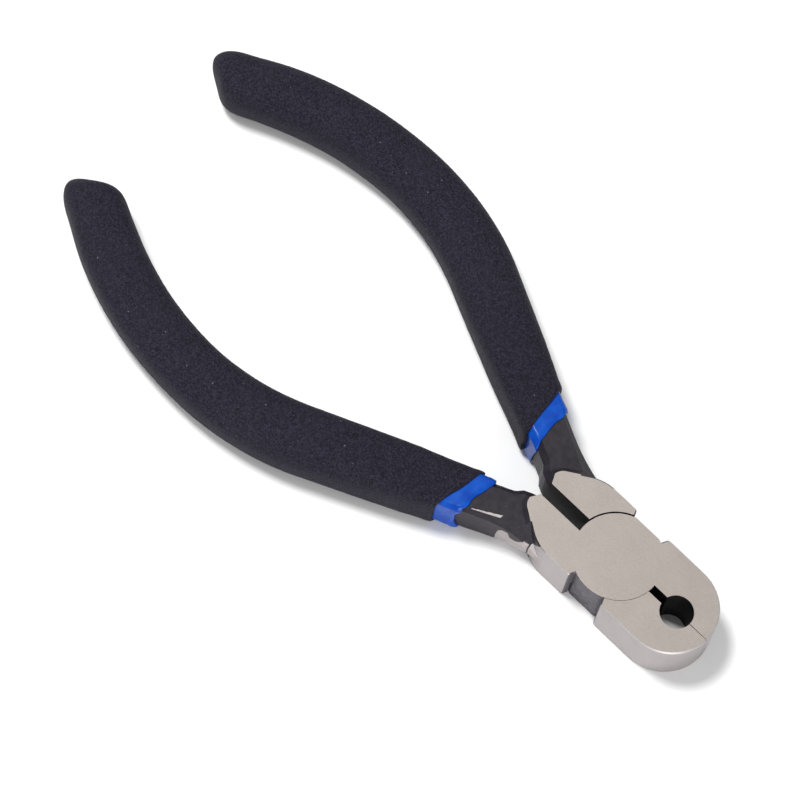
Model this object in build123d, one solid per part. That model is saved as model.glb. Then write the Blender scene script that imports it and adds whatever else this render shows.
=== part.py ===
from build123d import *
from math import atan2, cos, degrees, radians, sin, tan
import os

# Mini pliers-type cutter with a lap joint: two steel levers that are the same shape turned over,
# one rivet, and a two-layer dipped grip on each handle.
#
# Frame, millimetres: the origin is on the pivot axis, in the plane the tool lies on.
# +X runs along the tool to the tip of the jaws, +Y to the left seen from above, +Z up.
# The jaws are closed. The right lever has its handle on -Y, its jaw on +Y and the upper lap disc.
# The left lever is the right one turned half a turn about the line y = 0, z = LAP_PLANE.

# Head
HEAD_THICKNESS = 8.0
LAP_PLANE = HEAD_THICKNESS / 2
LAP_GAP = 0.06             # between the two lap discs' faces
HEAD_HALF_WIDTH = 7.2
DISC_RADIUS = 6.6
DISC_FLAT_Y = 6.2          # a disc is ground flat where neither shoulder nor jaw covers it
SHOULDER_CLEARANCE = 0.25  # a shoulder's hollow wall round the other lever's disc
JAW_CLEARANCE = 0.06       # the same for a jaw
SHOULDER_STOP_ANGLE = 112.5  # where a shoulder ends, seen from the pivot
JAW_STOP_ANGLE = 65.5        # where a jaw begins
CORNER_RADIUS = 0.5        # on the outer corner of each stop face
EDGE_BREAK = 0.2           # ground chamfer round the head
EDGE_BREAK_BEGINS = 0.8    # beyond the disc's rim
REACH_INSIDE = 1.0         # shoulders and jaws begin this far inside the disc's rim
SLOT_HALF_WIDTH = 1.15     # slot between the two shoulders

# Outline of a shoulder's ground pad on the left, from its straight side round to the slot
PAD_SIDE_END = (-7.6, HEAD_HALF_WIDTH)
PAD_SIDE_BEND = (-9.45, 6.86)
PAD_SLANT_START = (-11.0, 6.1)
PAD_SLANT_END = (-13.9, 4.15)
PAD_REAR_BEND = (-14.72, 3.35)
PAD_REAR = (-14.95, 2.6)
PAD_REAR_X = -14.2         # where its rear edge meets the slot
PAD_RISE = 0.7             # length of the slope from the tang's flats up to its rear edge

# Jaws
JAW_NOSE_X = 10.2          # centre of the round nose
HOLE_X = 11.5
HOLE_RADIUS = 2.5
RELIEF_END_X = 9.6         # the relief slot runs from the disc into the hole
RELIEF_HALF_WIDTH = 0.64
SEAM_GAP_AT_TIP = 0.03     # from the seam's middle plane to each jaw's face
SEAM_GAP_AT_HOLE = 0.08

# Handle centre-line: a straight run, then two arcs that meet where the handles are widest
STRAIGHT_ANGLE = 25.5
WIDEST_X = -62.4
WIDEST_Y = 22.8
FRONT_RADIUS = 43.0
REAR_RADIUS = 54.0

# Tang, the lever's own steel behind the head
TANG_OUTER = 3.1           # from the centre-line to the outer wall
TANG_INNER = 2.7           # from the centre-line to the inner wall
TANG_HALF_HEIGHT = 3.4
TANG_CHAMFER = 0.9
ROOT_X = -8.0              # the tang begins here, inside the shoulder
TANG_BLEND_RADIUS = 21.0   # from the head's straight side into the tang's outer wall
FACET_FRONT_X = -11.9      # a 45 degree facet breaks the tang's outer edge along this line
FACET_FRONT_Y = 5.65
FACET_ANGLE = 27.9
BLOCK_SIZE = 24.0          # of the blocks that cut the tang's facets and chamfers
TANG_SPARE = 3.0           # extra width on the inner side before it is cut to shape
TANG_REAR = 32.0           # where the thinner core begins, from the widest point towards the head
INNER_CORNER = [(-17.35, 2.96), (-16.5, 1.95), (-15.6, 1.5), (-14.7, 1.15)]  # the tang's root beside the slot
INNER_BEND_RADIUS = 1.5    # where the tang's inner wall turns towards that root
CORE_HALF_WIDTH = 2.6      # the thinner steel inside the grip
CORE_HALF_HEIGHT = 2.6
CORE_PLACES = [33.0, 20.0, 8.0, 0.0, -14.0, -28.0]  # along the centre-line, from its front to its rear

# Dipped coats
DIP_LEAN = 8.0             # the dip lines lean back from square to X by this much
LINER_FRONT_X = -19.0      # where the inner coat's front edge would meet the X axis
GRIP_FRONT_X = -21.6       # the same for the outer coat
LINER_WALL = 0.45
LINER_SKIN_PLACES = [37.5, 18.0, 8.0, 0.0, -12.0, -28.45]  # behind the collar, along the centre-line

# Rivet
RIVET_RADIUS = 2.5
RIVET_CLEARANCE = 0.03     # running fit in the left lever
RIVET_HEAD_RADIUS = 4.0
RIVET_HEAD_HEIGHT = 1.5    # countersunk, flush with the left lever's lower face
RIVET_TOP = 7.0            # the right lever's bore is blind, so the upper face shows no rivet

# Grip sections from the front to the rear: place along the centre-line, half width, corner radius
GRIP_HALF_HEIGHT = LAP_PLANE
GRIP_SECTIONS = [
    (48.0, 3.9, 2.0),
    (39.0, 4.2, 2.0),
    (34.0, 4.58, 2.3),
    (27.0, 4.85, 2.7),
    (18.0, 5.0, 2.9),
    (8.0, 4.85, 2.9),
    (0.0, 4.7, 2.9),
    (-12.0, 4.66, 2.9),
    (-22.0, 4.63, 2.9),
    (-28.0, 4.45, 2.9),
]
# The grip's end, counted from the last section: behind it, outwards, lean, half width and height, radius
GRIP_END = [
    (2.6, 0.3, 3.0, 4.15, 3.9, 2.7),
    (4.9, 0.8, 10.0, 3.3, 3.3, 2.3),
    (6.1, 1.3, 17.0, 2.05, 2.2, 1.4),
]
# Inner coat's collar, flaring from its front edge until the outer coat covers it:
# place along the centre-line, shift outwards, half width, half height, corner radius
LINER_COLLAR = [
    (48.0, 0.2, 3.02, 3.5, 1.0),
    (44.5, 0.18, 3.1, 3.52, 1.0),
    (41.0, 0.05, 3.65, 3.65, 1.3),
    (36.5, 0.0, 3.75, 3.7, 1.5),
]


def spine(s):
    """Point and forward direction of the left handle's centre-line, s from the widest point."""
    if s < 0:
        angle, radius = s / REAR_RADIUS, REAR_RADIUS
    else:
        angle, radius = min(s / FRONT_RADIUS, radians(STRAIGHT_ANGLE)), FRONT_RADIUS
    forward = Vector(cos(angle), -sin(angle))
    point = Vector(WIDEST_X + radius * sin(angle), WIDEST_Y - radius * (1 - cos(angle)))
    beyond = max(s - FRONT_RADIUS * radians(STRAIGHT_ANGLE), 0)
    return point + forward * beyond, forward


def beside(s, across):
    """Point of the left handle beside its centre-line, outwards for a positive distance."""
    point, forward = spine(s)
    return point + Vector(-forward.Y, forward.X) * across


def polar(radius, degrees):
    return Vector(radius * cos(radians(degrees)), radius * sin(radians(degrees)))


def solid_of(lines, bottom, top):
    """Prism on a closed outline, from one height to another."""
    face = make_face(lines)
    return extrude(Plane.XY.offset(bottom) * face, top - bottom, dir=(0, 0, 1))


def section(point, forward, half_width, half_height, corner):
    """Rounded rectangle square to a direction, centred on the lap plane's height."""
    across = Vector(-forward.Y, forward.X)
    plane = Plane((point.X, point.Y, LAP_PLANE), x_dir=across, z_dir=forward)
    return plane * RectangleRounded(2 * half_width, 2 * half_height, corner)


def turned_over(shape):
    """The other lever's copy: half a turn about the X direction through the lap plane."""
    return shape.rotate(Axis((0, 0, LAP_PLANE), (1, 0, 0)), 180)


def dip_plane(front_x):
    """Plane of a dip line on the left handle, facing the tool's tip."""
    lean = radians(DIP_LEAN)
    return Plane((front_x, 0, 0), x_dir=(0, 0, 1), z_dir=(cos(lean), sin(lean), 0))


def outer_rims(block, rear_x, inner_y):
    """Edges of the two ground faces that lie outside the disc, in front of rear_x and beyond inner_y."""
    rims = []
    for edge in block.edges():
        middle = edge.center()
        on_ground_face = min(middle.Z, HEAD_THICKNESS - middle.Z) < 0.01
        outside_disc = Vector(middle.X, middle.Y).length > DISC_RADIUS + EDGE_BREAK_BEGINS
        if on_ground_face and outside_disc and middle.X > rear_x and middle.Y > inner_y:
            rims.append(edge)
    return rims


def pad_rear():
    """Rear edge of the ground pad, from its outer side round to the slot."""
    return [
        Line(PAD_SLANT_START, PAD_SLANT_END),
        ThreePointArc(PAD_SLANT_END, PAD_REAR_BEND, PAD_REAR),
        Line(PAD_REAR, (PAD_REAR_X, SLOT_HALF_WIDTH)),
    ]


def shoulder():
    """Full-thickness ground pad on the handle's side of the disc (left-hand copy, on +Y)."""
    inner = polar(DISC_RADIUS - REACH_INSIDE, SHOULDER_STOP_ANGLE)
    corner = polar(HEAD_HALF_WIDTH / sin(radians(SHOULDER_STOP_ANGLE)), SHOULDER_STOP_ANGLE)
    slot_front = Vector(inner.X - 2 * REACH_INSIDE, SLOT_HALF_WIDTH)
    outline = [
        Line(inner, corner),
        Line(corner, PAD_SIDE_END),
        ThreePointArc(PAD_SIDE_END, PAD_SIDE_BEND, PAD_SLANT_START),
        *pad_rear(),
        Line((PAD_REAR_X, SLOT_HALF_WIDTH), slot_front),
        Line(slot_front, inner),
    ]
    pad = solid_of(outline, 0, HEAD_THICKNESS)
    stop_edge = pad.edges().filter_by(Axis.Z).sort_by_distance(corner)[0]
    pad = fillet(stop_edge, CORNER_RADIUS)
    return chamfer(outer_rims(pad, PAD_SLANT_END[0], HEAD_HALF_WIDTH / 2), EDGE_BREAK)


def jaw():
    """Full-thickness jaw on the other side of the disc (on +Y), with its face on the seam."""
    inner = polar(DISC_RADIUS - REACH_INSIDE, JAW_STOP_ANGLE)
    corner = polar(HEAD_HALF_WIDTH / sin(radians(JAW_STOP_ANGLE)), JAW_STOP_ANGLE)
    nose_start = Vector(JAW_NOSE_X, HEAD_HALF_WIDTH)
    tip = Vector(JAW_NOSE_X + HEAD_HALF_WIDTH, SEAM_GAP_AT_TIP)
    on_nose = Vector(JAW_NOSE_X, 0) + polar(HEAD_HALF_WIDTH, 45)
    seam_rear = Vector(HOLE_X, SEAM_GAP_AT_HOLE)
    seam_front = Vector(inner.X + 2 * REACH_INSIDE, SEAM_GAP_AT_HOLE)
    outline = [
        Line(inner, corner),
        Line(corner, nose_start),
        ThreePointArc(nose_start, on_nose, tip),
        Line(tip, seam_rear),
        Line(seam_rear, seam_front),
        Line(seam_front, inner),
    ]
    block = solid_of(outline, 0, HEAD_THICKNESS)
    stop_edge = block.edges().filter_by(Axis.Z).sort_by_distance(corner)[0]
    block = fillet(stop_edge, CORNER_RADIUS)
    block = chamfer(outer_rims(block, 0, 1), EDGE_BREAK)
    block -= Pos(HOLE_X, 0, LAP_PLANE) * Cylinder(HOLE_RADIUS, 2 * HEAD_THICKNESS)
    relief = Box(2 * RELIEF_END_X, 2 * RELIEF_HALF_WIDTH, 2 * HEAD_THICKNESS)
    return block - Pos(0, 0, LAP_PLANE) * relief


def lap_disc():
    """Half-thickness disc in the lower lap, with the flat on the side that stays bare (-Y)."""
    height = LAP_PLANE - LAP_GAP / 2
    disc = Pos(0, 0, height / 2) * Cylinder(DISC_RADIUS, height)
    bare = Pos(0, -DISC_FLAT_Y - DISC_RADIUS / 2) * Box(DISC_RADIUS * 2, DISC_RADIUS, 3 * height)
    return disc - bare


def tang():
    """The lever's bar from the shoulder into the grip, and its thinner core (left-hand copy)."""
    bend = radians(STRAIGHT_ANGLE)
    outer_rear = beside(TANG_REAR, TANG_OUTER)
    # The outer wall's straight run would cross the head's side here, and an arc blends the two
    crossing_x = outer_rear.X + (outer_rear.Y - HEAD_HALF_WIDTH) / tan(bend)
    reach = TANG_BLEND_RADIUS * tan(bend / 2)
    blend_front = Vector(crossing_x + reach, HEAD_HALF_WIDTH)
    blend_rear = Vector(crossing_x - reach * cos(bend), HEAD_HALF_WIDTH + reach * sin(bend))
    middle_drop = TANG_BLEND_RADIUS * (1 - cos(bend / 2))
    blend_middle = Vector(blend_front.X - TANG_BLEND_RADIUS * sin(bend / 2), HEAD_HALF_WIDTH + middle_drop)
    wide_rear = beside(TANG_REAR, -TANG_INNER - TANG_SPARE)
    wide_root = Vector(ROOT_X, -TANG_SPARE)
    root_outer = Vector(ROOT_X, HEAD_HALF_WIDTH)
    outline = [
        Line(root_outer, blend_front),
        ThreePointArc(blend_front, blend_middle, blend_rear),
        Line(blend_rear, outer_rear),
        Line(outer_rear, wide_rear),
        Line(wide_rear, wide_root),
        Line(wide_root, root_outer),
    ]
    bottom, top = LAP_PLANE - TANG_HALF_HEIGHT, LAP_PLANE + TANG_HALF_HEIGHT
    bar = solid_of(outline, bottom, top)
    full_height = solid_of(outline, 0, HEAD_THICKNESS)
    bar += pad_rise(top) & full_height
    bar += pad_rise(top).mirror(Plane.XY.offset(LAP_PLANE)) & full_height
    return (bar & inner_side()) - facet_cutter(top) - facet_cutter(bottom)


def inner_side():
    """Block whose walls shape the tang's inner side: upright, with 45 degree chamfers above and below."""
    corner = [Vector(*place) for place in INNER_CORNER]
    rear = corner[0] + (beside(TANG_REAR, -TANG_INNER) - corner[0]) * 2
    root = Vector(BLOCK_SIZE, SLOT_HALF_WIDTH)
    far = [Vector(BLOCK_SIZE, BLOCK_SIZE), Vector(rear.X, rear.Y + BLOCK_SIZE)]
    bend = FilletPolyline(rear, corner[0], corner[1], radius=INNER_BEND_RADIUS)
    face = make_face([bend, Polyline(*corner[1:], root, *far, rear)])
    upright = TANG_HALF_HEIGHT - TANG_CHAMFER
    half = extrude(Plane.XY.offset(LAP_PLANE) * face, upright, dir=(0, 0, 1))
    sloped = Plane.XY.offset(LAP_PLANE + upright) * face
    half += extrude(sloped, LAP_PLANE - upright, dir=(0, 0, 1), taper=45)
    return half + half.mirror(Plane.XY.offset(LAP_PLANE))


def pad_rise(bottom):
    """Slope from the tang's upper flat to the rear edge of the ground pad."""
    slot_rear, root = (PAD_REAR_X, SLOT_HALF_WIDTH), (ROOT_X, SLOT_HALF_WIDTH)
    face = make_face(pad_rear() + [Polyline(slot_rear, root, (ROOT_X, PAD_SLANT_START[1]), PAD_SLANT_START)])
    height = HEAD_THICKNESS - bottom
    lean = degrees(atan2(PAD_RISE, height))
    return extrude(Plane.XY.offset(HEAD_THICKNESS) * face, height, dir=(0, 0, -1), taper=-lean)


def facet_cutter(height):
    """Box whose 45 degree side takes the tang's outer edge off along one straight line."""
    upward = 1 if height > LAP_PLANE else -1
    angle = radians(FACET_ANGLE)
    outwards = Vector(sin(angle), cos(angle), upward).normalized()
    start = Plane((FACET_FRONT_X, FACET_FRONT_Y, height), x_dir=(cos(angle), -sin(angle), 0), z_dir=outwards)
    depth = BLOCK_SIZE / 2
    return start * Pos(-depth, 0, depth / 2) * Box(2 * BLOCK_SIZE, BLOCK_SIZE, depth)


def core():
    """Steel inside the grip, following the centre-line to near the handle's end."""
    outer = Spline([beside(s, CORE_HALF_WIDTH) for s in CORE_PLACES])
    inner = Spline([beside(s, -CORE_HALF_WIDTH) for s in CORE_PLACES])
    outline = [outer, inner, Line(outer @ 0, inner @ 0), Line(outer @ 1, inner @ 1)]
    return solid_of(outline, LAP_PLANE - CORE_HALF_HEIGHT, LAP_PLANE + CORE_HALF_HEIGHT)


def left_lever():
    """Lower lap disc, shoulder and handle on +Y, jaw on -Y."""
    disc_top = LAP_PLANE - LAP_GAP / 2
    upper = HEAD_THICKNESS - disc_top
    hollow_z = disc_top + upper / 2
    shoulder_hollow = Pos(0, 0, hollow_z) * Cylinder(DISC_RADIUS + SHOULDER_CLEARANCE, upper)
    jaw_hollow = Pos(0, 0, hollow_z) * Cylinder(DISC_RADIUS + JAW_CLEARANCE, upper)
    blank = shoulder() - shoulder_hollow
    blank += jaw().mirror(Plane.XZ) - jaw_hollow
    blank += lap_disc()
    blank += tang() - shoulder_hollow
    blank += core()
    return blank


def rivet_hole():
    """The left lever's bore and countersink, a running fit round the rivet."""
    bore = Pos(0, 0, LAP_PLANE) * Cylinder(RIVET_RADIUS + RIVET_CLEARANCE, 2 * LAP_PLANE)
    sink = Cone(RIVET_HEAD_RADIUS + RIVET_CLEARANCE, RIVET_RADIUS + RIVET_CLEARANCE, RIVET_HEAD_HEIGHT)
    return bore + Pos(0, 0, RIVET_HEAD_HEIGHT / 2) * sink


def pivot_rivet():
    head = Cone(RIVET_HEAD_RADIUS, RIVET_RADIUS, RIVET_HEAD_HEIGHT)
    shank = Cylinder(RIVET_RADIUS, RIVET_TOP)
    return Pos(0, 0, RIVET_HEAD_HEIGHT / 2) * head + Pos(0, 0, RIVET_TOP / 2) * shank


def liner_outside():
    """Outer shape of the inner coat on the left handle: a flared collar and a thin skin behind it."""
    faces = []
    for s, shift, half_width, half_height, corner in LINER_COLLAR:
        faces.append(section(beside(s, shift), spine(s)[1], half_width, half_height, corner))
    collar = loft(faces)
    half_width, half_height = CORE_HALF_WIDTH + LINER_WALL, CORE_HALF_HEIGHT + LINER_WALL
    skin = loft([section(*spine(s), half_width, half_height, LINER_WALL) for s in LINER_SKIN_PLACES])
    return split(collar + skin, bisect_by=dip_plane(LINER_FRONT_X), keep=Keep.BOTTOM)


def grip_outside():
    """Outer shape of the outer coat on the left handle, with its slanted, pointed end."""
    faces = []
    for s, half_width, corner in GRIP_SECTIONS:
        faces.append(section(*spine(s), half_width, GRIP_HALF_HEIGHT, corner))
    body = loft(faces)
    point, forward = spine(GRIP_SECTIONS[-1][0])
    outwards = Vector(-forward.Y, forward.X)
    end_faces = faces[-1:]
    for behind, aside, lean, half_width, half_height, corner in GRIP_END:
        centre = point - forward * behind + outwards * aside
        end_faces.append(section(centre, forward.rotate(Axis.Z, lean), half_width, half_height, corner))
    return split(body + loft(end_faces), bisect_by=dip_plane(GRIP_FRONT_X), keep=Keep.BOTTOM)


def build():
    lever = left_lever()
    liner_body = liner_outside()
    liner = liner_body - lever
    grip = grip_outside() - liner_body - lever
    rivet = pivot_rivet()
    return {
        "left_lever": lever - rivet_hole(),
        "right_lever": turned_over(lever) - rivet,
        "pivot_rivet": rivet,
        "left_grip_liner": liner,
        "right_grip_liner": turned_over(liner),
        "left_grip": grip,
        "right_grip": turned_over(grip),
    }


os.makedirs("parts", exist_ok=True)
for node, shape in build().items():
    export_step(shape, f"parts/{node}.step")
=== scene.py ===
import bmesh
import bpy
import math
from mathutils import Matrix, Vector, noise


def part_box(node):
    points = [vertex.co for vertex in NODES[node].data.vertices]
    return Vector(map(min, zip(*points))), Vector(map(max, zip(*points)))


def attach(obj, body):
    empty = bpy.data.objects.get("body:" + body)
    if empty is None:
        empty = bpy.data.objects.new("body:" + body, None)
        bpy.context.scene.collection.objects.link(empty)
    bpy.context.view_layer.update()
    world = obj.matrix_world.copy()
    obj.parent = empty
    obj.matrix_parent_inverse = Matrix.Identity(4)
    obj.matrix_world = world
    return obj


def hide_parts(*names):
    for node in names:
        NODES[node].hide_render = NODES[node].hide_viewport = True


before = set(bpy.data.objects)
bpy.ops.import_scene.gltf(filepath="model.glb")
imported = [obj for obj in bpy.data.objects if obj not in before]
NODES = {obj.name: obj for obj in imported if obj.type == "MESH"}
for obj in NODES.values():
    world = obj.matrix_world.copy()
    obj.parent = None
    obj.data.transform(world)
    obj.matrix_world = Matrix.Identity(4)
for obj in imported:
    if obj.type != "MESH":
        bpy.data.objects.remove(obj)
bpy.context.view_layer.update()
MM = 0.001

# ------------------------------------------------------------------------------------------------
# The handle's shape, in millimetres: the same centre-line as the CAD part, a straight run and then
# two arcs that meet where the handles are widest. Everything is made for the left handle, and the
# right one is its copy turned half a turn about the X direction through the lap plane.
# ------------------------------------------------------------------------------------------------
LAP_Z = 4.0
STRAIGHT = math.radians(25.5)
WIDEST = Vector((-62.4, 22.8))
FRONT_R, REAR_R = 43.0, 54.0
BEND_S = FRONT_R * STRAIGHT            # where the straight run begins
DIP_SLOPE = math.tan(math.radians(8.0))
LINER_FRONT_X, GRIP_FRONT_X = -19.0, -21.6
TANG_OUT, TANG_IN, TANG_HIGH = 3.1, 2.7, 3.4
TANG_CHAMFER = 0.9
FACET_X, FACET_Y, FACET_SLOPE = -11.9, 5.65, math.tan(math.radians(27.9))
GRIP_REAR_S = -28.0
BAND_S = 44.0            # where the blue band crosses the centre-line
BAND_FRONT_S = 46.0
GRIP_MOUTH_S = 43.0
FACET_S = (38.0, 50.0)   # the outer facet is followed between these places
FACET_LOW_Z = 2.7        # its lower edge on the outer wall, near the blue band


def spine(s):
    """Point and forward direction of the centre-line, s from the widest point."""
    if s < 0:
        a, r = s / REAR_R, REAR_R
    else:
        a, r = min(s / FRONT_R, STRAIGHT), FRONT_R
    point = WIDEST + Vector((r * math.sin(a), r * (math.cos(a) - 1)))
    forward = Vector((math.cos(a), -math.sin(a)))
    return point + forward * max(s - BEND_S, 0), forward


def beside(s, across, height):
    """3-D point beside the centre-line (outwards positive), above the lap plane."""
    point, forward = spine(s)
    out = Vector((-forward.y, forward.x))
    return Vector((*(point + out * across), LAP_Z + height))


def smooth(t):
    """A smooth step from 0 to 1."""
    t = min(max(t, 0.0), 1.0)
    return t * t * (3 - 2 * t)


def lerp(a, b, t):
    return a + (b - a) * t


def table(rows, x):
    """Smooth curve through a table's rows; the first column is the place."""
    rows = sorted(rows)
    if x <= rows[0][0]:
        return rows[0][1:]
    if x >= rows[-1][0]:
        return rows[-1][1:]
    i = max(k for k in range(len(rows) - 1) if rows[k][0] <= x)
    a, b = rows[i], rows[i + 1]
    before, after = rows[max(i - 1, 0)], rows[min(i + 2, len(rows) - 1)]
    span = b[0] - a[0]
    t = (x - a[0]) / span
    result = []
    for k in range(1, len(a)):
        va = (b[k] - before[k]) / (b[0] - before[0]) * span
        vb = (after[k] - a[k]) / (after[0] - a[0]) * span
        result.append((2 * t**3 - 3 * t**2 + 1) * a[k] + (t**3 - 2 * t**2 + t) * va
                      + (3 * t**2 - 2 * t**3) * b[k] + (t**3 - t**2) * vb)
    return tuple(result)


def facet_across(s):
    """Where the tang's outer facet begins on its top face, from the centre-line."""
    point, forward = spine(s)
    out = Vector((-forward.y, forward.x))
    return (FACET_Y + (FACET_X - point.x) * FACET_SLOPE - point.y) / (out.y + out.x * FACET_SLOPE)


def rounded(corners, radius, steps=6):
    """Closed outline through convex corners, each rounded off, as a list of points."""
    outline = []
    n = len(corners)
    for i in range(n):
        p, a, b = Vector(corners[i]), Vector(corners[i - 1]), Vector(corners[(i + 1) % n])
        da, db = (a - p), (b - p)
        turn = math.pi - da.angle(db)
        reach = min(radius * math.tan(turn / 2), da.length * 0.48, db.length * 0.48)
        start, end = p + da.normalized() * reach, p + db.normalized() * reach
        for k in range(steps + 1):
            t = k / steps
            outline.append((1 - t) ** 2 * start + 2 * t * (1 - t) * p + t * t * end)
    return outline


def cast(outline, angle):
    """Distance from the middle to a closed outline in one direction."""
    d = Vector((math.cos(angle), math.sin(angle)))
    best = 0.0
    for a, b in zip(outline, outline[1:] + outline[:1]):
        e = b - a
        det = d.x * -e.y + e.x * d.y
        if abs(det) < 1e-12:
            continue
        r = (a.x * -e.y + e.x * a.y) / det
        t = (d.x * a.y - d.y * a.x) / det
        if r > 0 and -1e-6 <= t <= 1 + 1e-6:
            best = max(best, r)
    return best


def tang_outline(s, out=0.0, inwards=0.0, high=0.0, radius=0.15, low_chamfer=TANG_CHAMFER):
    """The tang's section with its chamfers, grown by a coat's thickness on each side."""
    facet = facet_across(min(max(s, FACET_S[0]), FACET_S[1]))
    drop = max(TANG_OUT - facet, 0.2)
    o, i, h = TANG_OUT + out, TANG_IN + inwards, TANG_HIGH + high
    c, d = TANG_CHAMFER, low_chamfer
    corners = [(o, h - drop), (o - drop, h), (-i + c, h), (-i, h - c),
               (-i, -h + d), (-i + d, -h), (o - drop, -h), (o, -h + drop)]
    return rounded(corners, radius)


# ------------------------------------------------------------------------------------------------
# Mesh helpers
# ------------------------------------------------------------------------------------------------
def add_object(name, mesh, body, node):
    """Object that rides on a body and takes the place of its CAD node."""
    obj = bpy.data.objects.new(name, mesh)
    bpy.context.scene.collection.objects.link(obj)
    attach(obj, body)
    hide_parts(node)
    return obj


def turn_over(p):
    """The same point on the right handle."""
    return Vector((p.x, -p.y, 2 * LAP_Z - p.z))


def closed_shell(name, first, rings, last, over):
    """Closed mesh from a first point, rings of points and a last point, in millimetres."""
    if over:
        first, last = turn_over(first), turn_over(last)
        rings = [[turn_over(p) for p in ring] for ring in rings]
    bm = bmesh.new()
    start = bm.verts.new(first * MM)
    loops = [[bm.verts.new(p * MM) for p in ring] for ring in rings]
    end = bm.verts.new(last * MM)
    n = len(loops[0])
    for k in range(n):
        m = (k + 1) % n
        bm.faces.new((start, loops[0][m], loops[0][k]))
        bm.faces.new((end, loops[-1][k], loops[-1][m]))
        for a, b in zip(loops, loops[1:]):
            bm.faces.new((a[k], a[m], b[m], b[k]))
    bmesh.ops.recalc_face_normals(bm, faces=bm.faces)
    for f in bm.faces:
        f.smooth = True
    mesh = bpy.data.meshes.new(name)
    bm.to_mesh(mesh)
    bm.free()
    return mesh


def front_of(front_x, across, wave):
    """s at which a dip line crosses a line beside the straight part of the centre-line."""
    s = BAND_S
    for _ in range(6):
        p = beside(s, across, 0)
        s += (front_x - p.y * DIP_SLOPE + wave - p.x) / math.cos(STRAIGHT)
    return s


# ------------------------------------------------------------------------------------------------
# Materials
# ------------------------------------------------------------------------------------------------
class Shader:
    """A material and the few node shapes that the finishes are made of. Lengths are millimetres."""

    def __init__(self, name):
        self.material = bpy.data.materials.new(name)
        self.material.use_nodes = True
        self.tree = self.material.node_tree
        self.tree.nodes.clear()
        self.surface = self.node("ShaderNodeBsdfPrincipled")
        output = self.node("ShaderNodeOutputMaterial")
        self.join(self.surface.outputs[0], output.inputs[0])
        coordinates = self.node("ShaderNodeTexCoord").outputs["Object"]
        scale = self.node("ShaderNodeVectorMath", operation="SCALE")
        scale.inputs["Scale"].default_value = 1 / MM
        self.join(coordinates, scale.inputs[0])
        self.place = scale.outputs[0]
        axes = self.node("ShaderNodeSeparateXYZ")
        self.join(self.place, axes.inputs[0])
        self.x, self.y, self.z = axes.outputs

    def node(self, kind, **settings):
        made = self.tree.nodes.new(kind)
        for key, value in settings.items():
            setattr(made, key, value)
        return made

    def join(self, source, target):
        self.tree.links.new(source, target)

    def put(self, target, value):
        if isinstance(value, bpy.types.NodeSocket):
            self.join(value, target)
        else:
            target.default_value = value

    def set(self, **values):
        for key, value in values.items():
            self.put(self.surface.inputs[key.replace("_", " ")], value)

    def math(self, operation, a, b=0.0, c=0.0, clamp=False):
        made = self.node("ShaderNodeMath", operation=operation, use_clamp=clamp)
        for target, value in zip(made.inputs, (a, b, c)):
            self.put(target, value)
        return made.outputs[0]

    def span(self, value, low, high, to_low=0.0, to_high=1.0):
        """A smooth step from one value to another."""
        made = self.node("ShaderNodeMapRange", interpolation_type="SMOOTHSTEP")
        for target, v in zip(made.inputs, (value, low, high, to_low, to_high)):
            self.put(target, v)
        return made.outputs[0]

    def noise(self, size, detail=3.0, rough=0.55, stretch=(1, 1, 1), shift=0.0, turn=0.0):
        mapping = self.node("ShaderNodeMapping")
        self.join(self.place, mapping.inputs["Vector"])
        mapping.inputs["Location"].default_value = (shift, shift * 0.7, shift * 1.3)
        mapping.inputs["Rotation"].default_value = (0, 0, turn)
        mapping.inputs["Scale"].default_value = stretch
        made = self.node("ShaderNodeTexNoise")
        self.join(mapping.outputs[0], made.inputs["Vector"])
        made.inputs["Scale"].default_value = 1 / size
        made.inputs["Detail"].default_value = detail
        made.inputs["Roughness"].default_value = rough
        return made.outputs[0]

    def specks(self, size, radius, share):
        """Sparse round specks: 1 inside a speck, 0 elsewhere."""
        made = self.node("ShaderNodeTexVoronoi")
        self.join(self.place, made.inputs["Vector"])
        made.inputs["Scale"].default_value = 1 / size
        tint = self.node("ShaderNodeSeparateColor")
        self.join(made.outputs["Color"], tint.inputs[0])
        chosen = self.math("LESS_THAN", tint.outputs[0], share)
        spot = self.span(made.outputs["Distance"], radius / size, 0.4 * radius / size)
        return self.math("MULTIPLY", chosen, spot)

    def mix(self, factor, a, b):
        made = self.node("ShaderNodeMix", data_type="RGBA")
        self.put(made.inputs[0], factor)
        for target, value in ((made.inputs[6], a), (made.inputs[7], b)):
            self.put(target, (*value, 1) if isinstance(value, tuple) else value)
        return made.outputs[2]

    def blend(self, factor, a, b):
        made = self.node("ShaderNodeMix", data_type="FLOAT")
        for target, value in ((made.inputs[0], factor), (made.inputs[2], a), (made.inputs[3], b)):
            self.put(target, value)
        return made.outputs[0]

    def bump(self, height, depth):
        made = self.node("ShaderNodeBump")
        made.inputs["Strength"].default_value = 1.0
        made.inputs["Distance"].default_value = depth * MM
        self.put(made.inputs["Height"], height)
        return made.outputs[0]


STEEL = (0.343, 0.305, 0.28)
PIT = (0.13, 0.11, 0.10)
# Painted light: this cooler tint stands in for the cool light that the walls and edge chamfers
# catch, facing away from the warm lamp.
PAINTED_COOL_LIGHT = (0.99, 1.03, 1.12)    # tint of the walls, which face away from the warm light


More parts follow.
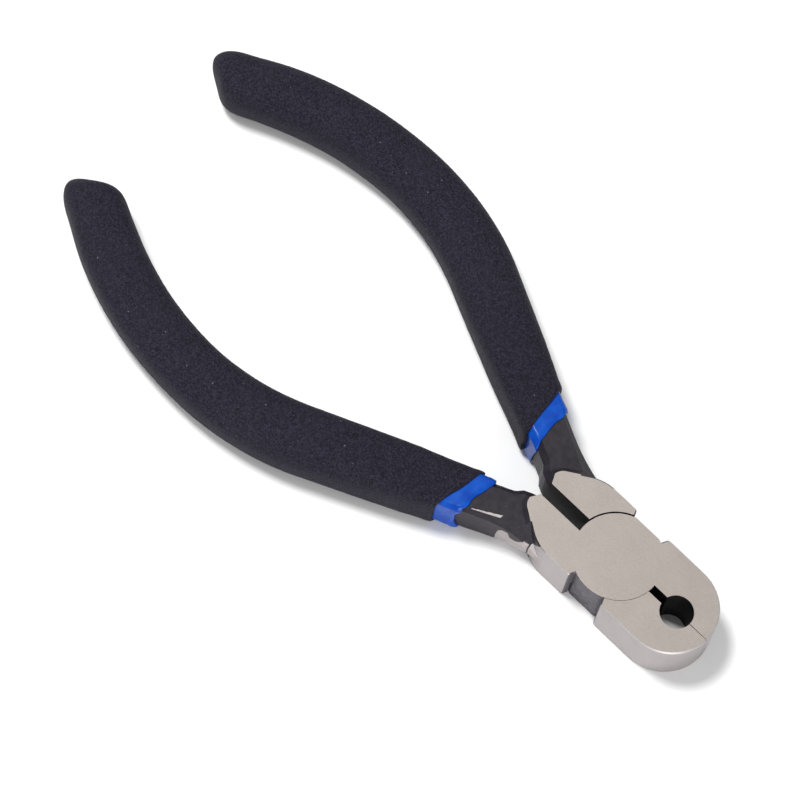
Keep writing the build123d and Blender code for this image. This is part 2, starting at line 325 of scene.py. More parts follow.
def ground_steel(name, light=1.0, tint=(1.0, 1.0, 1.0)):
    """Matt ground steel: fine grain, faint grinding lines and a few darker pits. Its light and tint
    arguments make brighter, cooler copies for the edges and walls: painted light.
    """
    m = Shader(name)
    fine = m.noise(0.13, 4, 0.65)
    broad = m.noise(4.5, 2, 0.5)
    grind = m.noise(0.09, 2, 0.5, stretch=(0.06, 1, 1), turn=0.5)
    uneven = m.math("MULTIPLY_ADD", broad, 0.18, m.math("MULTIPLY", grind, 0.2))
    tone = m.math("MULTIPLY_ADD", fine, 0.62, uneven)
    low = tuple(0.87 * light * c * t for c, t in zip(STEEL, tint))
    high = tuple(1.12 * light * c * t for c, t in zip(STEEL, tint))
    pits = m.specks(1.6, 0.07, 0.35)
    colour = m.mix(m.span(tone, 0.32, 0.68), low, high)
    m.set(Base_Color=m.mix(m.math("MULTIPLY", pits, 0.45), colour, PIT))
    m.set(Metallic=0.6)
    m.set(Roughness=m.math("MULTIPLY_ADD", fine, 0.2, 0.42))
    m.set(Normal=m.bump(m.math("ADD", fine, m.math("MULTIPLY", grind, 0.5)), 0.006))
    return m


def dark_steel_and_shade(name):
    """The unground steel inside the joint and on the inward walls, with turning lines round the
    pivot. Its darkness is partly the steel's own and partly painted shade for these hollow places.
    """
    m = Shader(name)
    radius = m.math("SQRT", m.math("ADD", m.math("POWER", m.x, 2.0), m.math("POWER", m.y, 2.0)))
    wobble = m.math("MULTIPLY_ADD", m.noise(1.5), 0.5, m.math("MULTIPLY", m.z, 1.0))
    lines = m.math("SINE", m.math("MULTIPLY", m.math("ADD", radius, wobble), 9.0))
    tone = m.math("MULTIPLY_ADD", lines, 0.12, m.noise(0.4, 4, 0.6))
    m.set(Base_Color=m.mix(m.span(tone, 0.3, 0.75), (0.05, 0.044, 0.056), (0.14, 0.128, 0.15)))
    m.set(Metallic=0.5)
    m.set(Roughness=m.math("MULTIPLY_ADD", m.noise(0.7), 0.2, 0.42))
    m.set(Normal=m.bump(tone, 0.01))
    return m


def enamel_finish(m):
    """Colour, roughness and height of the black enamel."""
    peel = m.noise(0.9, 3, 0.5)
    fine = m.noise(0.14, 3, 0.6)
    dust = m.specks(1.1, 0.09, 0.3)
    tone = m.math("MULTIPLY_ADD", fine, 0.4, m.math("MULTIPLY", peel, 0.6))
    colour = m.mix(m.span(tone, 0.3, 0.7), (0.011, 0.009, 0.0135), (0.024, 0.0195, 0.0275))
    colour = m.mix(m.math("MULTIPLY", dust, 0.5), colour, (0.16, 0.15, 0.16))
    m.set(Specular_IOR_Level=0.22)
    return colour, m.math("MULTIPLY_ADD", fine, 0.22, 0.36), m.math("MULTIPLY_ADD", peel, 1.0, fine)


def bare_finish(m):
    """Colour and roughness of the dull steel where the enamel is ground or worn away."""
    fine = m.noise(0.15, 4, 0.6, shift=5.0)
    broad = m.noise(1.4, 3, 0.5, shift=9.0)
    tone = m.math("MULTIPLY_ADD", fine, 0.5, m.math("MULTIPLY", broad, 0.5))
    colour = m.mix(m.span(tone, 0.3, 0.7), (0.33, 0.30, 0.30), (0.44, 0.40, 0.40))
    return colour, m.math("MULTIPLY_ADD", fine, 0.2, 0.42)


def painted_shade_black(name):
    """Near-black steel in the hole, the relief and the slot, whose black is painted shade for the
    deep shade inside them.
    """
    m = Shader(name)
    fine = m.noise(0.3, 3, 0.6)
    m.set(Base_Color=m.mix(m.span(fine, 0.35, 0.7), (0.0015, 0.0012, 0.002), (0.007, 0.006, 0.009)))
    m.set(Roughness=m.math("MULTIPLY_ADD", fine, 0.25, 0.4), Specular_IOR_Level=0.12)
    m.set(Normal=m.bump(fine, 0.01))
    return m


def enamel(name, side, worn):
    """Black enamel. side is -1 on the right lever, whose coat is worn through on its outer wall."""
    m = Shader(name)
    colour, roughness, height = enamel_finish(m)
    if worn:
        bare = worn_mask(m, side)
        steel, steel_rough = bare_finish(m)
        colour = m.mix(bare, colour, steel)
        roughness = m.blend(bare, roughness, steel_rough)
        m.set(Metallic=m.math("MULTIPLY", bare, 0.7))
        height = m.math("MULTIPLY_ADD", bare, -3.0, height)
    m.set(Base_Color=colour, Roughness=roughness)
    m.set(Normal=m.bump(height, 0.012))
    return m


# Where the right lever's outer wall shows bare steel: along the tool and the height it reaches
WORN_EDGE = [(-15.6, -1.0), (-15.4, 1.9), (-15.3, 4.5), (-14.7, 5.4), (-13.85, 5.5),
             (-13.3, 4.3), (-12.7, 4.1), (-12.1, 4.4), (-11.25, 5.7), (-10.3, 5.5),
             (-9.6, 6.4), (-8.9, 7.6), (-8.0, 9.0)]
WORN_REAR_X, WORN_FRONT_X = -16.0, -8.0
WORN_LOW_Z, WORN_SPAN_Z = -1.0, 10.0
WALL_Y = 6.6
RUNNEL_X = -10.2
TOP_Z = 7.2
SCRATCH_REAR_X, SCRATCH_FRONT_X = -19.6, -15.7


def worn_mask(m, side):
    """1 where the enamel is gone: the low part of the outer wall and a chip on the top facet."""
    ragged = m.noise(0.55, 4, 0.65, shift=3.0)
    jitter = m.math("MULTIPLY_ADD", ragged, 0.7, -0.35)
    x = m.math("ADD", m.x, jitter)
    z = m.z if side < 0 else m.math("SUBTRACT", 2 * LAP_Z, m.z)
    # Outer wall: bare below a ragged line
    curve = m.node("ShaderNodeFloatCurve")
    length = WORN_FRONT_X - WORN_REAR_X
    points = curve.mapping.curves[0].points
    for k, (px, pz) in enumerate(WORN_EDGE):
        u, v = (px - WORN_REAR_X) / length, (pz - WORN_LOW_Z) / WORN_SPAN_Z
        if k < 2:
            points[k].location = (u, v)
        else:
            points.new(u, v)
    for p in points:
        p.handle_type = "VECTOR"
    curve.mapping.update()
    along = m.math("DIVIDE", m.math("SUBTRACT", x, WORN_REAR_X), length, clamp=True)
    m.put(curve.inputs["Value"], along)
    edge = m.math("MULTIPLY_ADD", curve.outputs[0], WORN_SPAN_Z, WORN_LOW_Z)
    below = m.math("SUBTRACT", edge, m.math("ADD", z, m.math("MULTIPLY", jitter, 0.6)))
    wall = m.span(below, -0.05, 0.08)
    across = m.math("MULTIPLY", m.y, float(side))
    wall = m.math("MULTIPLY", wall, m.math("GREATER_THAN", across, WALL_Y))
    # A dark runnel of enamel down the bare patch
    wavy = m.math("MULTIPLY_ADD", ragged, 0.25, m.x)
    runnel = m.math("ABSOLUTE", m.math("SUBTRACT", wavy, RUNNEL_X))
    wall = m.math("MULTIPLY", wall, m.span(runnel, 0.07, 0.16))
    # Top facet: a chip along the facet's edge, wider towards the head
    line = m.math("MULTIPLY_ADD", m.math("SUBTRACT", FACET_X, m.x), FACET_SLOPE, FACET_Y)
    inside = m.math("SUBTRACT", line, across)
    width = m.math("MULTIPLY_ADD", m.math("SUBTRACT", m.x, SCRATCH_REAR_X), 0.1, 0.06)
    width = m.math("ADD", width, m.math("MULTIPLY", jitter, 0.35))
    chip = m.span(m.math("SUBTRACT", width, inside), 0.0, 0.05)
    chip = m.math("MULTIPLY", chip, m.math("GREATER_THAN", inside, -0.08))
    chip = m.math("MULTIPLY", chip, m.math("GREATER_THAN", z, TOP_Z))
    chip = m.math("MULTIPLY", chip, m.span(m.x, SCRATCH_FRONT_X, SCRATCH_FRONT_X - 0.12))
    chip = m.math("MULTIPLY", chip, m.math("GREATER_THAN", m.x, SCRATCH_REAR_X))
    return m.math("MAXIMUM", wall, chip)


def enamel_painted_highlight(name):
    """Enamel over a sharp edge, lighter and a little metallic in patches: a painted highlight along
    the edge.
    """
    m = Shader(name)
    colour, roughness, height = enamel_finish(m)
    painted_highlight = m.span(m.noise(1.3, 4, 0.6, shift=2.0), 0.42, 0.66)
    m.set(Base_Color=m.mix(m.math("MULTIPLY", painted_highlight, 0.6), colour, (0.22, 0.20, 0.205)))
    m.set(Roughness=roughness, Normal=m.bump(height, 0.01))
    m.set(Metallic=m.math("MULTIPLY", painted_highlight, 0.35))
    return m


def dipped_blue(name):
    """Glossy blue dip, slightly clouded and lumpy."""
    m = Shader(name)
    cloud = m.noise(1.6, 3, 0.5)
    m.set(Base_Color=m.mix(m.span(cloud, 0.3, 0.7), (0.001, 0.044, 0.325), (0.0025, 0.07, 0.41)))
    m.set(Roughness=m.math("MULTIPLY_ADD", m.noise(0.5), 0.12, 0.24))
    m.set(Specular_IOR_Level=0.16, Coat_Weight=0.05, Coat_Roughness=0.12)
    m.set(Normal=m.bump(m.noise(1.1, 2, 0.4), 0.035))
    return m


def suede_black(name):
    """Matt black rubber dip with a fine suede grain, lint and a rougher front."""
    m = Shader(name)
    grain = m.noise(0.15, 3, 0.7)
    pores = m.noise(0.34, 3, 0.65, shift=4.0)
    cloud = m.noise(7.0, 3, 0.5)
    front = m.span(m.x, -46.0, -27.0)
    tone = m.math("MULTIPLY_ADD", grain, 0.62, m.math("MULTIPLY", pores, 0.38))
    colour = m.mix(m.span(tone, 0.40, 0.64), (0.0025, 0.002, 0.006), (0.0305, 0.028, 0.0465))
    colour = m.mix(m.math("MULTIPLY", m.span(cloud, 0.4, 0.75), 0.18), colour, (0.022, 0.021, 0.03))
    lint = m.math("MAXIMUM", m.specks(1.5, 0.14, 0.22), m.specks(0.62, 0.07, 0.2))
    colour = m.mix(m.math("MULTIPLY", lint, 0.55), colour, (0.22, 0.21, 0.25))
    m.set(Base_Color=colour)
    m.set(Roughness=0.8, Specular_IOR_Level=0.17)
    m.set(Sheen_Weight=0.04, Sheen_Roughness=0.4)
    strength = m.blend(front, 1.0, 1.8)
    m.set(Normal=m.bump(m.math("MULTIPLY", tone, strength), 0.11))
    return m


# ------------------------------------------------------------------------------------------------
# Levers: the CAD mesh with a small rounded bevel on its sharp edges and a finish on each face
# ------------------------------------------------------------------------------------------------
# Lever finishes: the edge and wall steels are brightened as painted light, the dark steel is partly
# painted shade, and the near-black one is painted shade.
FINISHES = ("ground", "side", "rim_painted_highlight", "dark", "hole", "enamel", "enamel_painted_highlight")
DISC_R = 6.6
HOLE = (11.5, 2.5)       # place along X and radius
NOSE_X = 10.2            # centre of the round nose
PAD_REAR_X = -7.6        # the ground wall ends here, and the enamel begins
SLOT_END_X = -15.2


def finish_of(centre, normal, side, is_bevel):
    """Which finish a lever's face has, from its place and direction."""
    x, y, z = centre.x / MM, centre.y / MM * side, centre.z / MM
    from_face = min(z, 2 * LAP_Z - z)
    from_pivot = math.hypot(x, y)
    slot = abs(y) < 1.35 and SLOT_END_X < x < -5
    in_hole = math.hypot(x - HOLE[0], y) < HOLE[1] + 0.2
    # Painted shade: faces inside the slot take the near-black material.
    if slot and from_face > 0.05:
        return "hole"
    on_pad_face = from_face < 0.24 and abs(normal.z) > 0.6 and x > -15.1
    if x < PAD_REAR_X and not on_pad_face:
        # Painted highlight: sloping enamel bevels well behind the pad take the lightened edge
        # enamel.
        return "enamel_painted_highlight" if is_bevel and x < -11.5 and abs(normal.z) < 0.98 else "enamel"
    if x < PAD_REAR_X and abs(normal.z) < 0.9 and from_face > 0.04:
        return "enamel"
    if from_face < 0.05 and abs(normal.z) > 0.9:
        return "ground"
    # Painted shade: the jaw hole and the relief between it and the joint take the near-black
    # material.
    if in_hole or abs(y) < 1.0 and DISC_R - 0.5 < x < HOLE[0]:
        return "hole"
    # Painted shade, in part: the walls inside the joint and faces turned along X near the pivot take
    # the darker steel.
    if from_pivot < DISC_R + 0.2 and from_face > 0.1 or abs(normal.x) > 0.5 and x < 5:
        return "dark"
    # Painted highlight: bevels and faces by the top and bottom edges take the brightened edge steel.
    if from_face < 0.24 and (is_bevel or abs(normal.z) > 0.3):
        return "rim_painted_highlight"
    # Painted light and shade: walls facing outwards take the brightened, cooled wall steel, and the
    # rest take the darker steel as painted shade.
    outwards = abs(y) > 6.3 or x > 12 and math.hypot(x - NOSE_X, y) > 6
    return "side" if outwards else "dark"


def applied(obj):
    """The object's mesh with its modifiers applied, which are then taken off."""
    mesh = bpy.data.meshes.new_from_object(obj.evaluated_get(bpy.context.evaluated_depsgraph_get()))
    obj.modifiers.clear()
    return mesh


def lever(node, name, body, side, materials):
    """One forging: the CAD lever with softened edges. side is 1 on the left one, -1 on the right."""
    mesh = NODES[node].data.copy()
    mesh.name = name
    bm = bmesh.new()
    bm.from_mesh(mesh)
    bmesh.ops.remove_doubles(bm, verts=bm.verts, dist=0.002 * MM)
    bmesh.ops.dissolve_limit(bm, angle_limit=math.radians(0.4), verts=bm.verts,
                             edges=bm.edges, delimit=set())
    # Edges round the lap discs and the seam stay crisp, and the outer ones are rounded a little more
    weights = bm.edges.layers.float.new("bevel_weight_edge")
    for e in bm.edges:
        middle = (e.verts[0].co + e.verts[1].co) / 2 / MM
        by_disc = math.hypot(middle.x, middle.y) < DISC_R + 0.35
        close = by_disc or abs(middle.y) < 0.4 and middle.x > 5
        sharp = len(e.link_faces) == 2 and e.calc_face_angle() > math.radians(22)
        e[weights] = (0.4 if close else 1.0) if sharp else 0.0
    for f in bm.faces:
        f.smooth = True
    bm.to_mesh(mesh)
    bm.free()
    mesh.materials.clear()
    for _ in range(2):
        mesh.materials.append(None)
    for p in mesh.polygons:
        p.material_index = 0
    obj = add_object(name, mesh, body, node)
    bevel = obj.modifiers.new("bevel", "BEVEL")
    bevel.width = 0.07 * MM
    bevel.segments = 2
    bevel.limit_method = "WEIGHT"
    bevel.material = 1
    obj.data = applied(obj)
    bm = bmesh.new()
    bm.from_mesh(obj.data)
    for e in bm.edges:
        softened = any(f.material_index == 1 for f in e.link_faces)
        e.smooth = softened or len(e.link_faces) != 2 or e.calc_face_angle() < math.radians(28)
    bm.to_mesh(obj.data)
    bm.free()
    weighted = obj.modifiers.new("weighted", "WEIGHTED_NORMAL")
    weighted.weight = 80
    weighted.mode = "FACE_AREA"
    weighted.keep_sharp = True
    obj.data = applied(obj)
    obj.data.materials.clear()
    for key in FINISHES:
        obj.data.materials.append(materials[key].material)
    for p in obj.data.polygons:
        finish = finish_of(p.center, p.normal, side, p.material_index == 1)
        p.material_index = FINISHES.index(finish)


steel_top = ground_steel("ground_steel_face")
# Painted light: the edge copy is brightened into a painted highlight on bevels and chamfers, and the
# wall copy is brightened and cooled to paint the light that the outer walls catch.
steel_rim_painted_highlight = ground_steel("ground_steel_rim_painted_highlight", 1.45, PAINTED_COOL_LIGHT)
steel_side_painted_light = ground_steel("ground_steel_side_painted_light", 1.12, PAINTED_COOL_LIGHT)
joint_steel_and_shade = dark_steel_and_shade("joint_dark_steel_and_painted_shade")
edge_enamel_painted_highlight = enamel_painted_highlight("enamel_edge_painted_highlight")
left_set = {"ground": steel_top, "side": steel_side_painted_light, "rim_painted_highlight": steel_rim_painted_highlight, "dark": joint_steel_and_shade,
            "hole": painted_shade_black("painted_shade_black_steel"),
            "enamel": enamel("black_enamel", 1, False), "enamel_painted_highlight": edge_enamel_painted_highlight}
right_set = dict(left_set, enamel=enamel("black_enamel_worn", -1, True))
lever("left_lever", "left_lever_forging", "left_half", 1, left_set)
lever("right_lever", "right_lever_forging", "right_half", -1, right_set)


# ------------------------------------------------------------------------------------------------
# Rivet: a turned pin with a flush countersunk head underneath
# ------------------------------------------------------------------------------------------------
def rivet():
    """Pin with its countersunk head at the bottom, from a profile of radius and height."""
    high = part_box("pivot_rivet")[1]
    top = high.z / MM
    head, shank = high.x / MM, 2.5
    profile = [(0.5, 0.0), (1.6, 0.02), (head - 0.22, 0.0), (head - 0.05, 0.05),
               (head - 0.02, 0.16), (shank + 0.05, 1.46), (shank - 0.02, 1.6),
               (shank - 0.02, top - 0.3), (shank - 0.3, top), (1.0, top)]
    turns = [2 * math.pi * k / 72 for k in range(72)]
    rings = []
    for radius, z in profile:
        rings.append([Vector((radius * math.cos(a), radius * math.sin(a), z)) for a in turns])
    name = "pivot_rivet_turned"
    mesh = closed_shell(name, Vector((0, 0, 0)), rings, Vector((0, 0, top)), False)
    mesh.materials.append(steel_top.material)
    add_object(name, mesh, "right_half", "pivot_rivet")


rivet()


# ------------------------------------------------------------------------------------------------
# Dipped coats
# ------------------------------------------------------------------------------------------------
# Inner coat along the centre-line: thickness outwards, inwards and above, and corner radius
COLLAR = [(50.0, 0.18, 0.25, 0.17, 0.25), (46.5, 0.22, 0.32, 0.2, 0.3),
          (44.5, 0.34, 0.54, 0.23, 0.4), (42.8, 0.42, 0.7, 0.24, 0.55),
          (41.0, 0.34, 0.45, 0.18, 0.6), (38.0, 0.22, 0.25, 0.12, 0.6)]
LINER_LOW_CHAMFER = 0.4
LIP = 0.18               # how far the front edge is rounded over
CORE = 2.6               # half the thinner steel inside the grip
LINER_SKIN = 0.45        # the inner coat's wall behind the collar
COVERED_S = 38.0         # the thick collar ends here, well under the grip
LINER_REAR_S = -27.9     # its inside ends here, and its outside a little further back
COAT_REAR_S = -28.4
LINER_CORE_PLACES = [LINER_REAR_S, -20, -10, 0, 8, 16, 24, 30, 33]
GRIP_CORE_PLACES = [COAT_REAR_S, -20, -10, 0, 8, 16, 24, 30, 34]
GRIP_CORE = 3.05
GRIP_LIP = 0.24
ANGLES_LINER, COLLAR_STEPS = 120, 26
ANGLES_GRIP, GRIP_STEPS, END_STEPS = 144, 230, 40


def corner_share(outline_corners, direction, reach):
    """1 at a section's corner, 0 on its flats."""
    nearest = min((direction - c.normalized()).length for c in outline_corners)
    return math.exp(-(nearest / reach) ** 2)


def liner_section(s):
    """The inner coat's outline at a place along the centre-line."""
    out, inwards, high, radius = table(COLLAR, s)
    return tang_outline(s, out, inwards, high, radius, LINER_LOW_CHAMFER)


def even_angles(outline, count):
    """Directions whose points lie evenly along an outline."""
    lengths = [(b - a).length for a, b in zip(outline, outline[1:] + outline[:1])]
    total = sum(lengths)
    angles, walked, i = [], 0.0, 0
    for k in range(count):
        goal = total * k / count
        while walked + lengths[i] < goal:
            walked += lengths[i]
            i += 1
        t = (goal - walked) / lengths[i]
        p = outline[i].lerp(outline[(i + 1) % len(outline)], t)
        angles.append(math.atan2(p.y, p.x))
    return angles


def square_skin(half, angles):
    """Distances to a rounded square round the thinner core."""
    outline = rounded([(half, half), (-half, half), (-half, -half), (half, -half)], 0.3)
    return [cast(outline, a) for a in angles]


def core_ring(s, reach, angles):
    return [beside(s, r * math.cos(a), r * math.sin(a)) for r, a in zip(reach, angles)]


def build_liner(name, body, node, over, seed, material):
    """Inner coat: a collar on the tang with a rounded lip, and a thin skin on the core behind it."""
    section = liner_section(BAND_S)
    angles = even_angles(section, ANGLES_LINER)
    facet = facet_across(BAND_FRONT_S)
    corners = [Vector(c) for c in ((TANG_OUT, FACET_LOW_Z), (facet, TANG_HIGH),
                                   (TANG_OUT, -FACET_LOW_Z), (facet, -TANG_HIGH))]
    fronts = []
    for a in angles:
        d = Vector((math.cos(a), math.sin(a)))
        r = cast(section, a)
        wobble = noise.noise(Vector((d.x * 2.2, d.y * 2.2, seed)))
        inner_wall = smooth((-d.x - 0.45) / 0.3) * (0.42 * d.y - 0.2)
        wave = 0.55 * corner_share(corners, d, 0.2) - 0.27 + 0.14 * wobble + inner_wall
        fronts.append(front_of(LINER_FRONT_X, r * d.x, wave))

    def ring(shape, place):
        points = []
        for front, a in zip(fronts, angles):
            s = place(front)
            r = shape(s, a)
            points.append(beside(s, r * math.cos(a), r * math.sin(a)))
        return points

    cache = {}

    def outline_at(s, kind):
        key = (round(s, 2), kind)
        if key not in cache:
            if kind == "out":
                cache[key] = liner_section(s)
            else:
                cache[key] = tang_outline(s, -0.03, -0.03, -0.03, 0.1)
        return cache[key]

    def outside(s, a):
        return cast(outline_at(s, "out"), a)

    def inside(s, a):
        return cast(outline_at(s, "in"), a)

    core_out, core_in = square_skin(CORE + LINER_SKIN, angles), square_skin(CORE, angles)
    rings = [core_ring(s, core_in, angles) for s in LINER_CORE_PLACES]
    for t in (0.0, 0.5, 0.9):
        rings.append(ring(inside, lambda f, t=t: lerp(COVERED_S - 2, f - 0.25, t)))
    # The lip at the front edge, rounded over from the tang's surface to the coat's
    for turn in (0, 25, 50, 75, 100, 130, 160, 180):
        c, n = math.cos(math.radians(turn)), math.sin(math.radians(turn))

        def lip(s, a, c=c):
            low, high = inside(s, a), outside(s, a)
            return (low + high) / 2 - c * (high - low) / 2

        rings.append(ring(lip, lambda f, n=n: f - LIP + LIP * n))
    for j in range(1, COLLAR_STEPS + 1):
        t = j / COLLAR_STEPS

        def swollen(s, a, t=t):
            bead = 0.07 * math.exp(-((t - 0.09) / 0.07) ** 2)
            lump = 0.035 * noise.noise(Vector((math.cos(a) * 3, math.sin(a) * 3, s * 0.9 + seed)))
            return outside(s, a) + bead + lump * smooth(t * 6)

        rings.append(ring(swollen, lambda f, t=t: lerp(f - LIP, COVERED_S, t)))
    for s in reversed([COAT_REAR_S] + LINER_CORE_PLACES[1:-1]):
        rings.append(core_ring(s, core_out, angles))
    mesh = closed_shell(name, beside(LINER_REAR_S, 0, 0), rings, beside(COAT_REAR_S, 0, 0), over)
    mesh.materials.append(material.material)
    add_object(name, mesh, body, node)


# Outer coat along the centre-line: half width, half height, how square the section is
GRIP = [(50.0, 3.85, 3.96, 4.0), (43.0, 3.98, 3.97, 3.9), (39.0, 4.2, 3.98, 3.6),
        (34.0, 4.58, 3.99, 3.3), (27.0, 4.85, 4.0, 3.0), (18.0, 5.0, 4.0, 2.85),
        (8.0, 4.85, 4.0, 2.8), (0.0, 4.7, 4.0, 2.75), (-12.0, 4.66, 4.0, 2.7),
        (-22.0, 4.63, 4.0, 2.7), (-28.0, 4.45, 3.98, 2.7)]
# Its end: behind the last section, outwards, lean, half width, half height, squareness
GRIP_END = [(0.0, 0.0, 0.0, 4.45, 3.98, 2.7), (1.5, 0.08, 1.5, 4.4, 3.95, 2.7),
            (2.6, 0.2, 3.5, 4.32, 3.88, 2.7), (3.6, 0.36, 6.0, 4.12, 3.72, 2.6),
            (4.4, 0.53, 8.5, 3.8, 3.45, 2.5), (5.0, 0.72, 11.0, 3.38, 3.1, 2.4),
            (5.45, 0.93, 13.5, 2.9, 2.7, 2.3), (5.8, 1.13, 15.5, 2.42, 2.3, 2.2),
            (6.15, 1.32, 17.0, 1.86, 1.8, 2.1), (6.42, 1.46, 18.0, 1.28, 1.25, 2.0),
            (6.58, 1.54, 18.0, 0.68, 0.66, 2.0)]
TIP_BEHIND, TIP_ASIDE = 0.08, 1.58   # the last point, behind the last row, and outwards
TYPICAL = (4.6, 4.0, 2.9)            # the section that the points are spread along
FACETED = [(4.0, 3.15), (3.2, 3.97), (-2.95, 3.97), (-3.95, 2.9),
           (-3.95, -2.9), (-2.95, -3.97), (3.2, -3.97), (4.0, -3.15)]
FACETED_HALF = 3.97


def super_radius(a, half_width, half_height, power):
    """Distance from the middle to a rounded rectangle in one direction."""
    c, n = abs(math.cos(a)) / half_width, abs(math.sin(a)) / half_height
    return (c ** power + n ** power) ** (-1 / power)


def build_grip(name, body, node, over, seed, material):
    """Outer coat: faceted over the tang at its front, rounder behind, with a leaning round end."""
    base = []
    for a in (2 * math.pi * k / 720 for k in range(720)):
        r = super_radius(a, *TYPICAL)
        base.append(Vector((r * math.cos(a), r * math.sin(a))))
    angles = even_angles(base, ANGLES_GRIP)
    faceted = rounded(FACETED, 1.8)
    facets = [cast(faceted, a) for a in angles]

    def outside(s, k):
        a = angles[k]
        half_width, half_height, power = table(GRIP, s)
        round_one = super_radius(a, half_width, half_height, power)
        scale = math.hypot(math.cos(a) * half_width, math.sin(a) * half_height) / FACETED_HALF
        share = 0.6 * smooth((s - 22) / 20)
        r = lerp(round_one, facets[k] * scale, share)
        uneven = noise.noise(Vector((math.cos(a) * 1.3, math.sin(a) * 1.3, s * 0.16 + seed)))
        ripple = noise.noise(Vector((math.cos(a) * 4, math.sin(a) * 4, s * 0.8 + seed)))
        front = smooth((s - 22) / 18)
        return r - 0.04 + 0.03 * uneven + 0.015 * ripple * (1 + 1.5 * front)

    fronts = []
    for k, a in enumerate(angles):
        wobble = noise.noise(Vector((math.cos(a) * 2.5, math.sin(a) * 2.5, seed + 7)))
        fronts.append(front_of(GRIP_FRONT_X, outside(GRIP_MOUTH_S, k) * math.cos(a), 0.16 * wobble))
    cache = {}

    def inside(s, k):
        key = (round(s, 2), k)
        if key not in cache:
            cache[key] = cast(liner_section(s), angles[k]) - 0.04
        return cache[key]

    core = square_skin(GRIP_CORE, angles)
    rings = [core_ring(s, core, angles) for s in GRIP_CORE_PLACES]
    for t in (0.0, 0.5, 0.9):
        points = []
        for k, a in enumerate(angles):
            s = lerp(38.5, fronts[k] - 0.4, t)
            r = inside(s, k)
            points.append(beside(s, r * math.cos(a), r * math.sin(a)))
        rings.append(points)
    for turn in (0, 20, 40, 60, 80, 100, 120, 140, 160, 180):
        c, n = math.cos(math.radians(turn)), math.sin(math.radians(turn))
        points = []
        for k, a in enumerate(angles):
            s = fronts[k] - GRIP_LIP + GRIP_LIP * n
            low, high = inside(s, k), outside(s - GRIP_LIP, k)
            r = (low + high) / 2 - c * (high - low) / 2
            points.append(beside(s, r * math.cos(a), r * math.sin(a)))
        rings.append(points)
    for j in range(1, GRIP_STEPS + 1):
        t = j / GRIP_STEPS
        points = []
        for k, a in enumerate(angles):
            s = lerp(fronts[k] - GRIP_LIP, GRIP_REAR_S, t)
            bead = 0.05 * math.exp(-((fronts[k] - s - 0.9) / 0.7) ** 2)
            r = outside(s, k) + bead
            points.append(beside(s, r * math.cos(a), r * math.sin(a)))
        rings.append(points)
    point, forward = spine(GRIP_REAR_S)
    out = Vector((-forward.y, forward.x))
    for j in range(1, END_STEPS + 1):
        behind = GRIP_END[-1][0] * j / END_STEPS
        aside, lean, half_width, half_height, power = table(GRIP_END, behind)
        middle = point - forward * behind + out * aside
        turned = Matrix.Rotation(math.radians(lean), 2) @ forward
        across = Vector((-turned.y, turned.x))
        points = []
        for k, a in enumerate(angles):
            r = super_radius(a, half_width, half_height, power) - 0.04 * (1 - behind / 8)
            along = (GRIP_REAR_S - behind) * 0.16 + seed
            uneven = noise.noise(Vector((math.cos(a) * 1.3, math.sin(a) * 1.3, along)))
            r *= 1 + 0.007 * uneven
            q = middle + across * r * math.cos(a)
            points.append(Vector((q.x, q.y, LAP_Z + r * math.sin(a))))
        rings.append(points)
    tip = point - forward * (GRIP_END[-1][0] + TIP_BEHIND) + out * TIP_ASIDE
    last = Vector((tip.x, tip.y, LAP_Z))
    mesh = closed_shell(name, beside(COAT_REAR_S, 0, 0), rings, last, over)
    mesh.materials.append(material.material)
    add_object(name, mesh, body, node)


blue = dipped_blue("blue_dip_gloss")
suede = suede_black("black_dip_suede")
build_liner("left_liner_dip", "left_half", "left_grip_liner", False, 3.1, blue)
build_liner("right_liner_dip", "right_half", "right_grip_liner", True, 8.7, blue)
build_grip("left_grip_dip", "left_half", "left_grip", False, 1.7, suede)
build_grip("right_grip_dip", "right_half", "right_grip", True, 6.4, suede)

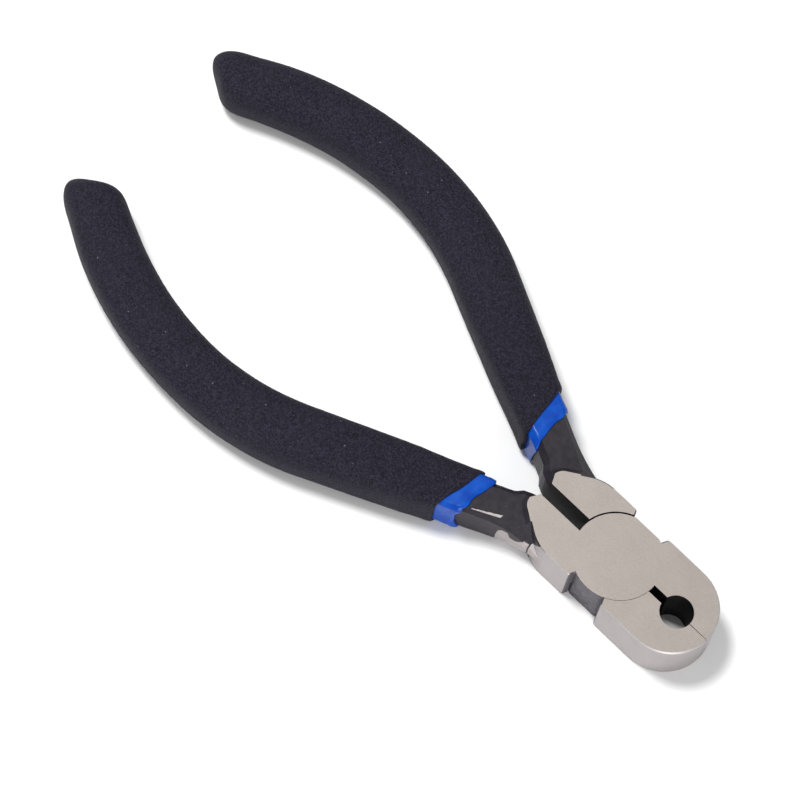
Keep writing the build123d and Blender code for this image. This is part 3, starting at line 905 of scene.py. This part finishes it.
# ------------------------------------------------------------------------------------------------
# Floor, light and camera
# ------------------------------------------------------------------------------------------------
floor_mesh = bpy.data.meshes.new("studio_floor")
floor_mesh.from_pydata([(-3, -3, 0), (3, -3, 0), (3, 3, 0), (-3, 3, 0)], [], [(0, 1, 2, 3)])
floor = bpy.data.objects.new("studio_floor", floor_mesh)
bpy.context.scene.collection.objects.link(floor)
paper = Shader("studio_paper")
pale = paper.mix(paper.noise(40.0), (0.9, 0.9, 0.9), (0.92, 0.92, 0.92))
paper.set(Base_Color=pale, Roughness=0.9, Specular_IOR_Level=0.1)
floor_mesh.materials.append(paper.material)

world = bpy.data.worlds.new("studio")
world.use_nodes = True
sky = world.node_tree
direction = sky.nodes.new("ShaderNodeTexCoord").outputs["Generated"]
split = sky.nodes.new("ShaderNodeSeparateXYZ")
sky.links.new(direction, split.inputs[0])
height = sky.nodes.new("ShaderNodeMapRange")
for socket, value in zip(height.inputs, (0.0, 0.0, 0.9, 0.12, 0.5)):
    socket.default_value = value
sky.links.new(split.outputs[2], height.inputs[0])
sky.links.new(height.outputs[0], sky.nodes["Background"].inputs["Strength"])
sky.nodes["Background"].inputs["Color"].default_value = (1.0, 1.0, 1.0, 1)
bpy.context.scene.world = world


def softbox(name, direction, distance, size, strength):
    """A round area light that faces the tool, with its brightness given on the floor below."""
    light = bpy.data.lights.new(name, "AREA")
    light.shape = "DISK"
    light.size = size
    obj = bpy.data.objects.new(name, light)
    bpy.context.scene.collection.objects.link(obj)
    away = Vector(direction).normalized()
    obj.location = Vector((-0.035, 0.0, 0.0)) + away * distance
    obj.rotation_euler = (-away).to_track_quat("-Z", "Y").to_euler()
    light.energy = strength * math.pi ** 2 * distance ** 2 / away.z


softbox("key", (-0.42, -0.05, 0.9), 0.8, 0.24, 0.86)
softbox("fill", (0.75, -0.6, 0.32), 0.8, 0.4, 0.19)

lens = bpy.data.cameras.new("camera")
lens.lens = 194.1
lens.sensor_width = 36
camera = bpy.data.objects.new("camera", lens)
bpy.context.scene.collection.objects.link(camera)
back = Vector((0.2044, -0.3367, 0.9191)).normalized()
side_way = Vector((0.7104, 0.6971, 0.0974)).normalized()
upward = back.cross(side_way).normalized()
side_way = upward.cross(back)
turned = Matrix((side_way, upward, back)).transposed().to_4x4()
camera.matrix_world = Matrix.Translation((0.08818, -0.21366, 0.57619)) @ turned
bpy.context.scene.camera = camera
bpy.context.scene.view_settings.view_transform = "Standard"
